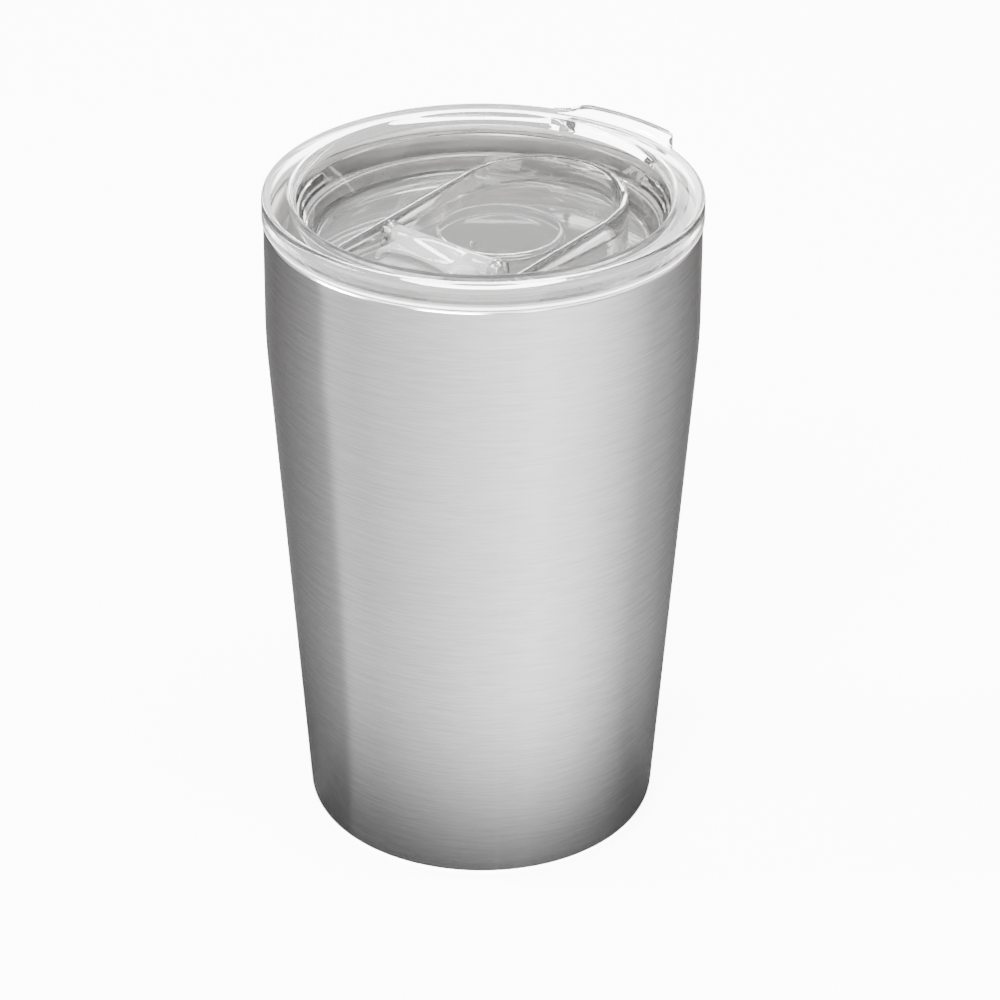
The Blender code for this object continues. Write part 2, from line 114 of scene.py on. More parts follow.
FLOOR_FILLET = 0.0015
POCKET_TOP = 0.1298
POCKET_DRAFT = 0.0004

# Lift tab, guard rib and parking pad.
TAB_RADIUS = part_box("lid_body")[1][1]
TAB_INNER_RADIUS = 0.0427
TAB_CORNER = 0.004
TAB_CORNER_ANGLE = 11.3
TAB_BLEND = 0.005
TAB_SINK = 0.00003
TAB_TOP = LID_TOP - 0.00004
TAB_BOTTOM = 0.1346

RIB_HALF_WIDTH = 0.018
RIB_THICKNESS = 0.0018
RIB_BEND_Y = 0.016
RIB_FRONT_Y = -0.024
RIB_BACK_HEIGHT = 0.1328
RIB_FRONT_HEIGHT = 0.1286
RIB_BLANK_RISE = 0.002
RIB_CUTTER_HALF = 0.05
RIB_CUTTER_OFFSET = 0.03
RIB_CUTTER_DEPTH = 0.01

PAD_Y = 0.0052
PAD_RADIUS = 0.013
PAD_TOP = 0.1282
PAD_EDGE = 0.001
PAD_DISH_RADIUS = 0.0112
PAD_DISH_DEPTH = 0.0002
VENT_RADIUS = 0.0008
VENT_PLACE = (0.0, -0.0032)
VENT_SIDES = 48

# Flip lever and hinge.
HINGE_Y = -0.0118
HINGE_Z = 0.1293
BARREL_RADIUS = 0.002
BARREL_HALF = 0.0125
TRUNNION_RADIUS = 0.0011
TRUNNION_HALF = 0.014
EAR_INNER = 0.0128
EAR_OUTER = 0.0148
EAR_RADIUS = 0.0025
HOOD_FRONT_Y = -0.0205
HOOD_HALF_WIDTH = 0.0108
HOOD_FOOT = 0.1274
HOOD_TOP = 0.1318
HOOD_WALL = 0.0012
HOOD_DISH_RADIUS = 0.007
HOOD_DISH_DEPTH = 0.0006
HOOD_CUTTER_HALF = 0.02
TONGUE_HALF_WIDTH = 0.0086
TONGUE_TIP_RADIUS = 0.0304
TONGUE_LOW = FLOOR_TOP + GAP
TONGUE_HIGH = 0.1284
SLOT_Y = -0.0265
SLOT_RADIUS = 0.003
SLOT_HALF_STRAIGHT = 0.004
BOSS_RADIUS = 0.0011
BOSS_FLANGE_RADIUS = 0.0019
BOSS_BOTTOM = 0.1252
BOSS_INSET = 0.0001
BOSS_FLANGE_TOP = 0.1257
SEAL_RING_LOW = 0.126
SEAL_RING_HIGH = 0.127

# How far a feature reaches into its neighbour, and a cutter past the face it cuts.
FEATURE_SINK = 0.0005
CUT_PAST = 0.001

# Edge roundings.
STEEL_EDGE = 0.00012
TAB_EDGE = 0.0006
RIB_EDGE = 0.0005
MOULDED_EDGE = 0.0004
BARREL_EDGE = 0.0003
SEAL_EDGE = 0.0002

# Gasket: how far out its waist stands, as a share of its reach.
GASKET_WAIST = 0.62

# Brush lines in the steel: length and thickness in millimetres, noise detail, share of the pattern.
FINE_BRUSH = (7.0, 0.16, 3.0, 0.6)
BROAD_BRUSH = (12.0, 0.6, 4.0, 0.4)

# Haze in the clear lid: on the skirt's matt lower edge, and faintly on the well's floor.
MATT_EDGE_HEIGHT = 0.0007
MATT_EDGE_HAZE = 0.68
FLOOR_HAZE = 0.04
FLOOR_HAZE_MARGIN = 0.001

pieces = bpy.data.collections.new("pieces")
guides = bpy.data.collections.new("guides")
studio = bpy.data.collections.new("studio")
for group in (pieces, guides, studio):
    bpy.context.scene.collection.children.link(group)


# ---------------------------------------------------------------- node material helpers

class Nodes:
    """Short way to write a material's node tree."""

    def __init__(self, name):
        self.material = bpy.data.materials.new(name)
        self.material.use_nodes = True
        self.tree = self.material.node_tree
        self.shader = self.tree.nodes["Principled BSDF"]

    def node(self, kind, **settings):
        made = self.tree.nodes.new(kind)
        for key, value in settings.items():
            setattr(made, key, value)
        return made

    def link(self, source, target):
        self.tree.links.new(source, target)

    def set(self, **values):
        for key, value in values.items():
            self.shader.inputs[key.replace("_", " ")].default_value = value

    def place(self):
        """Coordinates on the object, in metres."""
        return self.node("ShaderNodeTexCoord").outputs["Object"]

    def split(self, vector):
        made = self.node("ShaderNodeSeparateXYZ")
        self.link(vector, made.inputs[0])
        return made.outputs

    def from_axis(self, x, y):
        """Distance from the tumbler's axis."""
        squares = self.math("ADD", self.math("MULTIPLY", x, x), self.math("MULTIPLY", y, y))
        return self.math("SQRT", squares)

    def math(self, operation, first, second=None, third=None):
        made = self.node("ShaderNodeMath", operation=operation)
        for socket, value in zip(made.inputs, (first, second, third)):
            if value is None:
                continue
            if isinstance(value, (int, float)):
                socket.default_value = value
            else:
                self.link(value, socket)
        return made.outputs[0]

    def combine(self, x, y, z):
        made = self.node("ShaderNodeCombineXYZ")
        for socket, value in zip(made.inputs, (x, y, z)):
            if isinstance(value, (int, float)):
                socket.default_value = value
            else:
                self.link(value, socket)
        return made.outputs[0]

    def noise(self, vector, scale=1.0, detail=4.0, roughness=0.55):
        made = self.node("ShaderNodeTexNoise")
        made.inputs["Scale"].default_value = scale
        made.inputs["Detail"].default_value = detail
        made.inputs["Roughness"].default_value = roughness
        self.link(vector, made.inputs["Vector"])
        return made.outputs["Fac"]

    def spread(self, value, low, high, from_low=0.3, from_high=0.7, kind="LINEAR"):
        made = self.node("ShaderNodeMapRange", interpolation_type=kind)
        made.inputs["From Min"].default_value = from_low
        made.inputs["From Max"].default_value = from_high
        made.inputs["To Min"].default_value = low
        made.inputs["To Max"].default_value = high
        self.link(value, made.inputs["Value"])
        return made.outputs["Result"]

    def grey(self, value, tint=(1.0, 1.0, 1.0)):
        return self.combine(*[self.math("MULTIPLY", value, part) for part in tint])

    def bump(self, height, distance, strength=1.0):
        made = self.node("ShaderNodeBump")
        made.inputs["Distance"].default_value = distance
        made.inputs["Strength"].default_value = strength
        self.link(height, made.inputs["Height"])
        self.link(made.outputs["Normal"], self.shader.inputs["Normal"])


def round_coordinates(nodes):
    """Height and distance from the axis in millimetres, and the angle round Z."""
    x, y, z = nodes.split(nodes.place())
    height = nodes.math("MULTIPLY", z, 1000.0)
    radius = nodes.math("MULTIPLY", nodes.from_axis(x, y), 1000.0)
    return height, radius, nodes.math("ARCTAN2", y, x)


def streaks(nodes, angle, across, brush):
    """Noise drawn out round the axis, scaled to its share of the pattern."""
    length, thickness, detail, share = brush
    rounds = 1000 * RIM_RADIUS / length
    x = nodes.math("MULTIPLY", nodes.math("COSINE", angle), rounds)
    y = nodes.math("MULTIPLY", nodes.math("SINE", angle), rounds)
    lines = nodes.noise(nodes.combine(x, y, nodes.math("DIVIDE", across, thickness)), 1.0, detail, 0.6)
    return nodes.math("MULTIPLY", lines, share)


def brushed_steel(name, colour, roughness, strength, flat=False):
    """Stainless steel with fine brush lines that run round the axis."""
    nodes = Nodes(name)
    height, radius, angle = round_coordinates(nodes)
    across = radius if flat else height
    fine = streaks(nodes, angle, across, FINE_BRUSH)
    broad = streaks(nodes, angle, across, BROAD_BRUSH)
    both = nodes.math("ADD", fine, broad)
    shade = nodes.spread(both, 1.0 - strength, 1.0 + strength, 0.36, 0.64)
    nodes.link(nodes.grey(shade, colour), nodes.shader.inputs["Base Color"])
    nodes.link(nodes.spread(both, roughness * 1.15, roughness * 0.85), nodes.shader.inputs["Roughness"])
    nodes.bump(both, 0.00002, 0.3)
    nodes.set(Metallic=1.0, Anisotropic=0.75, Anisotropic_Rotation=0.25)
    tangent = nodes.node("ShaderNodeTangent", direction_type="RADIAL", axis="Z")
    nodes.link(tangent.outputs[0], nodes.shader.inputs["Tangent"])
    return nodes.material


def lid_haze(nodes, place):
    """Haze of the lid: strong on the skirt's lower edge, faint on the well's floor, none elsewhere."""
    x, y, height = nodes.split(place)
    radius = nodes.from_axis(x, y)
    edge_low = SKIRT_BOTTOM + MATT_EDGE_HEIGHT
    edge_high = SKIRT_BOTTOM + 1.5 * MATT_EDGE_HEIGHT
    low_enough = nodes.spread(height, 1.0, 0.0, edge_low, edge_high)
    edge = nodes.math("MULTIPLY", low_enough, nodes.math("GREATER_THAN", radius, SKIRT_INNER_RADIUS - GAP))
    below_pad = nodes.math("LESS_THAN", height, PAD_TOP + GAP)
    inside_well = nodes.math("LESS_THAN", radius, FLOOR_RADIUS + FLOOR_HAZE_MARGIN)
    floor_part = nodes.math("MULTIPLY", below_pad, inside_well)
    edge_haze = nodes.math("MULTIPLY", edge, MATT_EDGE_HAZE)
    return nodes.math("ADD", edge_haze, nodes.math("MULTIPLY", floor_part, FLOOR_HAZE))


def clear_plastic(name, roughness, clarity, tint, hazy=False):
    """Polished clear moulding with uneven gloss and a flow pattern; the lid's is hazy in places."""
    nodes = Nodes(name)
    place = nodes.place()
    flow = nodes.noise(place, 160.0, 3.0, 0.5)
    gloss = nodes.noise(place, 900.0, 4.0, 0.6)
    nodes.link(nodes.spread(gloss, roughness * 0.6, roughness * 1.6), nodes.shader.inputs["Roughness"])
    nodes.bump(flow, 0.00006, 0.25)
    nodes.set(Base_Color=(*tint, 1.0), Transmission_Weight=clarity, IOR=1.49)
    if hazy:
        clear = nodes.math("SUBTRACT", clarity, lid_haze(nodes, place))
        nodes.link(clear, nodes.shader.inputs["Transmission Weight"])
    return nodes.material


def clear_silicone(name):
    """Cloudy translucent rubber."""
    nodes = Nodes(name)
    cloud = nodes.noise(nodes.place(), 600.0, 4.0, 0.6)
    shade = nodes.grey(nodes.spread(cloud, 0.82, 0.9), (1.0, 0.99, 0.98))
    nodes.link(shade, nodes.shader.inputs["Base Color"])
    nodes.link(nodes.spread(cloud, 0.25, 0.4), nodes.shader.inputs["Roughness"])
    nodes.bump(cloud, 0.00003, 0.3)
    nodes.set(Transmission_Weight=0.9, IOR=1.41)
    return nodes.material


def simple_metal(name, colour, roughness, scale, depth):
    """Metal-like finish with a cloudy grain of this scale and bump depth."""
    nodes = Nodes(name)
    grain = nodes.noise(nodes.place(), scale, 6.0, 0.65)
    nodes.link(nodes.grey(nodes.spread(grain, 0.85, 1.1), colour), nodes.shader.inputs["Base Color"])
    nodes.link(nodes.spread(grain, roughness * 1.2, roughness * 0.8), nodes.shader.inputs["Roughness"])
    nodes.bump(grain, depth, 0.4)
    nodes.set(Metallic=1.0)
    return nodes.material


# ---------------------------------------------------------------- shape helpers

def arc(centre, radius, start_deg, end_deg, count):
    angles = [math.radians(start_deg + (end_deg - start_deg) * i / count) for i in range(count + 1)]
    return [(centre[0] + radius * math.cos(a), centre[1] + radius * math.sin(a)) for a in angles]


def body_radius(z):
    above = z - SHOULDER_HEIGHT
    if above >= SHOULDER_BLEND:
        return RIM_RADIUS
    if above <= -SHOULDER_BLEND:
        return RIM_RADIUS + CONE_SLOPE * above
    return RIM_RADIUS - CONE_SLOPE * (SHOULDER_BLEND - above) ** 2 / (4 * SHOULDER_BLEND)


def body_wall(inset, top, bottom, count=48):
    heights = [top + (bottom - top) * i / count for i in range(count + 1)]
    return [(body_radius(z) - inset, z) for z in heights]


def turned(name, profile, collection=pieces, closed=False, steps=STEPS):
    mesh = bpy.data.meshes.new(name)
    count = len(profile)
    edges = [(i, i + 1) for i in range(count - 1)]
    if closed:
        edges.append((count - 1, 0))
    mesh.from_pydata([(r, 0.0, z) for r, z in profile], edges, [])
    obj = bpy.data.objects.new(name, mesh)
    collection.objects.link(obj)
    screw = obj.modifiers.new("turn", "SCREW")
    screw.steps = steps
    screw.render_steps = steps
    screw.use_merge_vertices = True
    screw.merge_threshold = MERGE
    screw.use_smooth_shade = True
    return obj


def thicken(obj, thickness):
    shell = obj.modifiers.new("wall", "SOLIDIFY")
    shell.thickness = thickness
    shell.offset = -1.0
    shell.use_even_offset = True


def bevel(obj, width, segments=3, angle=40):
    rounded = obj.modifiers.new("edges", "BEVEL")
    rounded.width = width
    rounded.segments = segments
    rounded.limit_method = "ANGLE"
    rounded.angle_limit = math.radians(angle)


def settled(obj):
    """Apply the modifiers, so that the piece is a plain mesh."""
    bpy.context.view_layer.update()
    graph = bpy.context.evaluated_depsgraph_get()
    mesh = bpy.data.meshes.new_from_object(obj.evaluated_get(graph))
    obj.modifiers.clear()
    obj.data = mesh


def flat_solid(name, outlines, low, high, place=None):
    curve = bpy.data.curves.new(name, "CURVE")
    curve.dimensions = "2D"
    curve.fill_mode = "BOTH"
    curve.extrude = (high - low) / 2
    for outline in outlines:
        spline = curve.splines.new("POLY")
        spline.points.add(len(outline) - 1)
        for point, (x, y) in zip(spline.points, outline):
            point.co = (x, y, 0.0, 1.0)
        spline.use_cyclic_u = True
    guide = bpy.data.objects.new(name + "_outline", curve)
    guides.objects.link(guide)
    bpy.context.view_layer.update()
    graph = bpy.context.evaluated_depsgraph_get()
    mesh = bpy.data.meshes.new_from_object(guide.evaluated_get(graph))
    bpy.data.objects.remove(guide)
    welded = bmesh.new()
    welded.from_mesh(mesh)
    bmesh.ops.remove_doubles(welded, verts=welded.verts, dist=MERGE)
    bmesh.ops.dissolve_limit(welded, angle_limit=math.radians(1), verts=welded.verts, edges=welded.edges)
    welded.transform((place or Matrix.Identity(4)) @ Matrix.Translation((0.0, 0.0, (low + high) / 2)))
    welded.to_mesh(mesh)
    welded.free()
    obj = bpy.data.objects.new(name, mesh)
    guides.objects.link(obj)
    return obj


def rod(name, radius, half_length, y, z, sides=64):
    mesh = bpy.data.meshes.new(name)
    bar = bmesh.new()
    turn = Matrix.Translation((0.0, y, z)) @ Matrix.Rotation(math.radians(90), 4, "Y")
    bmesh.ops.create_cone(
        bar, cap_ends=True, segments=sides, radius1=radius, radius2=radius,
        depth=2 * half_length, matrix=turn,
    )
    bar.to_mesh(mesh)
    bar.free()
    obj = bpy.data.objects.new(name, mesh)
    guides.objects.link(obj)
    return obj


def combine(target, tool, operation):
    step = target.modifiers.new(tool.name, "BOOLEAN")
    step.operation = operation
    step.solver = "EXACT"
    step.object = tool


def finish_piece(obj, material, body, node, sharp=35):
    """Apply, shade, colour and hang a piece on its body in place of its CAD node."""
    settled(obj)
    obj.data.shade_smooth()
    obj.data.set_sharp_from_angle(angle=math.radians(sharp))
    obj.data.materials.clear()
    obj.data.materials.append(material)
    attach(obj, body)
    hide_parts(node)


def keep(obj):
    """Move a guide to the pieces."""
    guides.objects.unlink(obj)
    pieces.objects.link(obj)


def stadium(radius, half_straight, centre_y, count=16):
    right = arc((half_straight, centre_y), radius, -90, 90, count)
    left = arc((-half_straight, centre_y), radius, 90, 270, count)
    return right + left


def across_x():
    return Matrix(((0, 0, 1, 0), (1, 0, 0, 0), (0, 1, 0, 0), (0, 0, 0, 1)))


def across_y():
    return Matrix.Rotation(math.radians(90), 4, "X")


# ---------------------------------------------------------------- steel

def outer_shell(material):
    wall_angle = math.degrees(math.atan(CONE_SLOPE))
    lip_foot = RIM_HEIGHT - LIP_CHAMFER
    lip = [(LIP_JOINT_RADIUS, RIM_HEIGHT), (RIM_RADIUS - LIP_CHAMFER, RIM_HEIGHT), (RIM_RADIUS, lip_foot)]
    centre = (body_radius(BASE_FILLET) - BASE_FILLET / math.cos(math.radians(wall_angle)), BASE_FILLET)
    fillet = arc(centre, BASE_FILLET, -wall_angle, -90, 16)
    wall = body_wall(0.0, lip_foot, fillet[0][1])[1:-1]
    shell = turned("steel_shell", lip + wall + fillet + [(BASE_OPENING_RADIUS, 0.0)])
    thicken(shell, OUTER_WALL)
    bevel(shell, STEEL_EDGE, 2, 30)
    finish_piece(shell, material, "cup", "outer_shell")


def inner_liner(material):
    inset = WALL_TOTAL - INNER_WALL
    lip_centre = (RIM_RADIUS - WALL_TOTAL + LINER_LIP_RADIUS, RIM_HEIGHT - LINER_LIP_RADIUS)
    lip = arc(lip_centre, LINER_LIP_RADIUS - INNER_WALL, 90, 180, 12)
    fillet_radius = LINER_FILLET + INNER_WALL
    bottom = LINER_FLOOR - INNER_WALL
    wall = body_wall(inset, lip_centre[1], bottom + fillet_radius)[1:-1]
    centre = (body_radius(bottom + fillet_radius) - inset - fillet_radius, bottom + fillet_radius)
    fillet = arc(centre, fillet_radius, 0, -90, 16)
    liner = turned("steel_liner", lip + wall + fillet + [(0.0, bottom)])
    thicken(liner, INNER_WALL)
    finish_piece(liner, material, "cup", "inner_liner")


# ---------------------------------------------------------------- clear lid

def lid_profile():
    """Lid section, from the well's floor over the flange to the floor's underside."""
    rise = WELL_LEDGE_HEIGHT - FLOOR_TOP - FLOOR_FILLET
    run = WELL_LEDGE_RADIUS - FLOOR_RADIUS - FLOOR_FILLET
    slope = math.degrees(math.atan2(rise, run))
    floor_corner = arc((FLOOR_RADIUS, FLOOR_TOP + FLOOR_FILLET), FLOOR_FILLET, -90, slope - 90, 8)
    ledge = [
        (WELL_LEDGE_RADIUS, WELL_LEDGE_HEIGHT),
        (WELL_TOP_RADIUS - WELL_STEP_INSET, WELL_LEDGE_HEIGHT + WELL_STEP_RISE),
    ]
    well_edge = arc((WELL_TOP_RADIUS + WELL_EDGE, LID_TOP - WELL_EDGE), WELL_EDGE, 180, 90, 12)
    rim_edge = arc((LID_RADIUS - LID_EDGE, LID_TOP - LID_EDGE), LID_EDGE, 90, 0, 8)
    skirt = [
        (LID_RADIUS, SKIRT_BOTTOM + SKIRT_CHAMFER), (LID_RADIUS - SKIRT_CHAMFER, SKIRT_BOTTOM),
        (SKIRT_INNER_RADIUS, SKIRT_BOTTOM),
    ]
    channel = [(SKIRT_INNER_RADIUS, FLANGE_UNDERSIDE), (PLUG_RADIUS, FLANGE_UNDERSIDE)]
    groove = [
        (PLUG_RADIUS, GROOVE_HIGH), (GROOVE_RADIUS, GROOVE_HIGH),
        (GROOVE_RADIUS, GROOVE_LOW), (PLUG_RADIUS, GROOVE_LOW),
    ]
    plug_end = [
        (PLUG_RADIUS, PLUG_BOTTOM + PLUG_CHAMFER), (PLUG_RADIUS - PLUG_CHAMFER, PLUG_BOTTOM),
        (PLUG_INNER_RADIUS, PLUG_BOTTOM),
    ]
    well_wall = FLOOR_TOP - FLOOR_BOTTOM
    pocket_low = FLOOR_BOTTOM + well_wall
    pocket_low_radius = FLOOR_RADIUS + well_wall
    pocket_top_radius = pocket_low_radius + run / rise * (POCKET_TOP - pocket_low) + POCKET_DRAFT
    pocket = [
        (PLUG_INNER_RADIUS, POCKET_TOP), (pocket_top_radius, POCKET_TOP), (pocket_low_radius, pocket_low),
    ]
    under = [(FLOOR_RADIUS, FLOOR_BOTTOM), (0.0, FLOOR_BOTTOM)]
    top = [(0.0, FLOOR_TOP)] + floor_corner + ledge + well_edge + rim_edge
    return top + skirt + channel + groove + plug_end + pocket + under


def polar(radius, degrees):
    return (radius * math.cos(math.radians(degrees)), radius * math.sin(math.radians(degrees)))


def tab_side(count):
    """Right side of the tab: a hollow blend out of the flange, then the round corner."""
    corner_reach = TAB_RADIUS - TAB_CORNER
    blend_reach = LID_RADIUS - TAB_SINK + TAB_BLEND
    apart = TAB_CORNER + TAB_BLEND
    cosine = (corner_reach ** 2 + blend_reach ** 2 - apart ** 2) / (2 * corner_reach * blend_reach)
    corner_bearing = 90 - TAB_CORNER_ANGLE
    blend_bearing = corner_bearing - math.degrees(math.acos(cosine))
    corner = polar(corner_reach, corner_bearing)
    blend = polar(blend_reach, blend_bearing)
    way = math.degrees(math.atan2(blend[1] - corner[1], blend[0] - corner[0]))
    hollow = arc(blend, TAB_BLEND, blend_bearing + 180, way + 180, count)
    inner_end = polar(TAB_INNER_RADIUS, blend_bearing)
    return [inner_end] + hollow + arc(corner, TAB_CORNER, way, corner_bearing, count)[1:]


def lift_tab():
    """Tab that stands out of the flange, with rounded outer corners."""
    right = tab_side(16)
    left = [(-x, y) for x, y in reversed(right)]
    outer = arc((0.0, 0.0), TAB_RADIUS, 90 - TAB_CORNER_ANGLE, 90 + TAB_CORNER_ANGLE, 24)[1:-1]
    side = math.degrees(math.atan2(right[0][0], right[0][1]))
    inner = arc((0.0, 0.0), TAB_INNER_RADIUS, 90 + side, 90 - side, 24)[1:-1]
    tab = flat_solid("tab_shape", [right + outer + left + inner], TAB_BOTTOM, TAB_TOP)
    bevel(tab, TAB_EDGE)
    return tab


def guard_rib():
    """U-shaped rib on the well's floor, cut off by a plane that rises to its closed end."""
    outer = RIB_HALF_WIDTH + RIB_THICKNESS / 2
    inner = RIB_HALF_WIDTH - RIB_THICKNESS / 2
    outline = [(outer, RIB_FRONT_Y)] + arc((0.0, RIB_BEND_Y), outer, 0, 180, 64)
    outline += [(-outer, RIB_FRONT_Y), (-inner, RIB_FRONT_Y)]
    outline += arc((0.0, RIB_BEND_Y), inner, 180, 0, 64) + [(inner, RIB_FRONT_Y)]
    rib = flat_solid("rib_shape", [outline], FLOOR_TOP - FEATURE_SINK, RIB_BACK_HEIGHT + RIB_BLANK_RISE)
    back = RIB_BEND_Y + outer
    tilt = math.atan2(RIB_BACK_HEIGHT - RIB_FRONT_HEIGHT, back - RIB_FRONT_Y)
    half = RIB_CUTTER_HALF
    near = -half - RIB_CUTTER_OFFSET
    far = half - RIB_CUTTER_OFFSET
    square = [(-half, near), (half, near), (half, far), (-half, far)]
    plane = Matrix.Translation((0.0, back, RIB_BACK_HEIGHT)) @ Matrix.Rotation(tilt, 4, "X")
    combine(rib, flat_solid("rib_slope", [square], 0.0, RIB_CUTTER_DEPTH, plane), "DIFFERENCE")
    bevel(rib, RIB_EDGE)
    return rib


def parking_pad():
    """Round pad with a rounded edge and a shallow dish in its top."""
    count = 12
    dish = []
    for i in range(count + 1):
        share = i / count
        dish.append((PAD_DISH_RADIUS * share, PAD_TOP - PAD_DISH_DEPTH * (1 - share * share)))
    foot = FLOOR_TOP - FEATURE_SINK
    corner = arc((PAD_RADIUS - PAD_EDGE, PAD_TOP - PAD_EDGE), PAD_EDGE, 90, 0, 6)
    pad = turned("pad_shape", dish + corner + [(PAD_RADIUS, foot), (0.0, foot)], guides, steps=128)
    pad.location = (0.0, PAD_Y, 0.0)
    return pad


def hinge_ear(side):
    top = arc((HINGE_Y, HINGE_Z), EAR_RADIUS, 0, 180, 24)
    foot = FLOOR_TOP - FEATURE_SINK
    outline = [(HINGE_Y + EAR_RADIUS, foot)] + top + [(HINGE_Y - EAR_RADIUS, foot)]
    low, high = sorted((side * EAR_INNER, side * EAR_OUTER))
    ear = flat_solid("ear_right" if side > 0 else "ear_left", [outline], low, high, across_x())
    bevel(ear, MOULDED_EDGE)
    return ear


def lid_body(material):
    lid = turned("clear_lid", lid_profile())
    for shape in (lift_tab(), guard_rib(), parking_pad(), hinge_ear(-1), hinge_ear(1)):
        combine(lid, shape, "UNION")
    bore = rod("hinge_bore", TRUNNION_RADIUS + GAP, TRUNNION_HALF + GAP, HINGE_Y, HINGE_Z)
    combine(lid, bore, "DIFFERENCE")
    slot = stadium(SLOT_RADIUS, SLOT_HALF_STRAIGHT, SLOT_Y)
    combine(lid, flat_solid("slot_cut", [slot], FLOOR_BOTTOM - CUT_PAST, FLOOR_TOP + CUT_PAST), "DIFFERENCE")
    vent = arc(VENT_PLACE, VENT_RADIUS, 0, 360 - 360 / VENT_SIDES, VENT_SIDES - 1)
    combine(lid, flat_solid("vent_cut", [vent], FLOOR_BOTTOM - CUT_PAST, PAD_TOP + CUT_PAST), "DIFFERENCE")
    finish_piece(lid, material, "lid", "lid_body")


def lid_gasket(material):
    """Silicone ring whose outside waves out to two lips."""
    inner = GROOVE_RADIUS + GAP
    outer = RIM_RADIUS - WALL_TOTAL - GAP
    low = GROOVE_LOW + GAP
    high = GROOVE_HIGH - GAP
    reach = outer - inner
    profile = [(inner, high)]
    count = 48
    for i in range(count + 1):
        t = i / count
        wave = 0.5 - 0.5 * math.cos(4 * math.pi * t)
        share = GASKET_WAIST + (1 - GASKET_WAIST) * wave
        profile.append((inner + reach * share, high + (low - high) * t))
    profile.append((inner, low))
    ring = turned("gasket_ring", profile, closed=True)
    finish_piece(ring, material, "lid", "lid_gasket")


# ---------------------------------------------------------------- flip lever

def arch(half_width, foot, top, count=48, power=2.6):
    points = []
    for i in range(count + 1):
        a = math.pi * i / count
        c = math.cos(a)
        x = half_width * math.copysign(abs(c) ** (2 / power), c)
        points.append((x, foot + (top - foot) * abs(math.sin(a)) ** (2 / power)))
    return points


def lever_hood():
    outside = arch(HOOD_HALF_WIDTH, HOOD_FOOT, HOOD_TOP)
    inside = arch(HOOD_HALF_WIDTH - HOOD_WALL, HOOD_FOOT, HOOD_TOP - HOOD_WALL)
    hood = flat_solid("hood_shape", [outside + inside[::-1]], -HINGE_Y, -HOOD_FRONT_Y, across_y())
    middle_y = (HINGE_Y - BARREL_RADIUS + HOOD_FRONT_Y) / 2
    dish_z = HOOD_TOP - HOOD_DISH_DEPTH + HOOD_DISH_RADIUS
    combine(hood, rod("hood_dish", HOOD_DISH_RADIUS, HOOD_CUTTER_HALF, middle_y, dish_z, 192), "DIFFERENCE")
    bevel(hood, MOULDED_EDGE, 3, 30)
    return hood


def lever_tongue():
    reach = math.degrees(math.asin(TONGUE_HALF_WIDTH / TONGUE_TIP_RADIUS))
    tip = arc((0.0, 0.0), TONGUE_TIP_RADIUS, -90 - reach, -90 + reach, 24)
    outline = [(-TONGUE_HALF_WIDTH, HINGE_Y)] + tip + [(TONGUE_HALF_WIDTH, HINGE_Y)]
    tongue = flat_solid("tongue_shape", [outline], TONGUE_LOW, TONGUE_HIGH)
    bevel(tongue, MOULDED_EDGE)
    return tongue


def flip_lever(material):
    lever = rod("clear_lever", BARREL_RADIUS, BARREL_HALF, HINGE_Y, HINGE_Z)
    keep(lever)
    bevel(lever, BARREL_EDGE)
    combine(lever, rod("trunnions", TRUNNION_RADIUS, TRUNNION_HALF, HINGE_Y, HINGE_Z), "UNION")
    combine(lever, lever_hood(), "UNION")
    combine(lever, lever_tongue(), "UNION")
    boss = stadium(BOSS_RADIUS, SLOT_HALF_STRAIGHT, SLOT_Y)
    stem = flat_solid("boss_shape", [boss], BOSS_BOTTOM + BOSS_INSET, TONGUE_LOW + FEATURE_SINK)
    combine(lever, stem, "UNION")
    flange = stadium(BOSS_FLANGE_RADIUS, SLOT_HALF_STRAIGHT, SLOT_Y)
    combine(lever, flat_solid("boss_flange", [flange], BOSS_BOTTOM, BOSS_FLANGE_TOP), "UNION")
    finish_piece(lever, material, "lever", "flip_lever")


def plug_seal(material):
    outside = stadium(SLOT_RADIUS - GAP, SLOT_HALF_STRAIGHT, SLOT_Y)
    inside = stadium(BOSS_RADIUS + GAP, SLOT_HALF_STRAIGHT, SLOT_Y)
    ring = flat_solid("seal_ring", [outside, inside], SEAL_RING_LOW, SEAL_RING_HIGH)
    keep(ring)
    bevel(ring, SEAL_EDGE)
    finish_piece(ring, material, "lever", "plug_seal")


# ---------------------------------------------------------------- studio

CAMERA_AZIMUTH = math.radians(40.0)
CAMERA_ELEVATION = 0.499
CAMERA_DISTANCE = 0.9095
CAMERA_LENS = 160.0
CAMERA_SHIFT = (0.0178, 0.0075)
CAMERA_ROLL = math.radians(0.2)
AIM_HEIGHT = 0.0672
ROOM_LIGHT = 1.0
FLOOR_GLOW = 8.0
FLOOR_SIZE = 6.0
LIGHT_DISTANCE = 1.2

# Name, bearing from the camera and elevation in degrees, width and height in metres, power in watts.
LIGHTS = (
    ("key_panel", -20, 50, 0.5, 0.4, 30.0),
    ("top_panel", 60, 75, 0.6, 0.6, 30.0),
    ("side_panel", -92, 44, 0.35, 0.35, 20.0),
    ("back_panel", 168, 28, 0.25, 0.3, 3.0),
    ("back_strip", 183, 35.5, 0.5, 0.1, 9.0),
)


def towards(azimuth, elevation):
    """Unit vector from the object towards a viewer at this azimuth and elevation."""
    flat = math.cos(elevation)
    return Vector((math.sin(azimuth) * flat, -math.cos(azimuth) * flat, math.sin(elevation)))


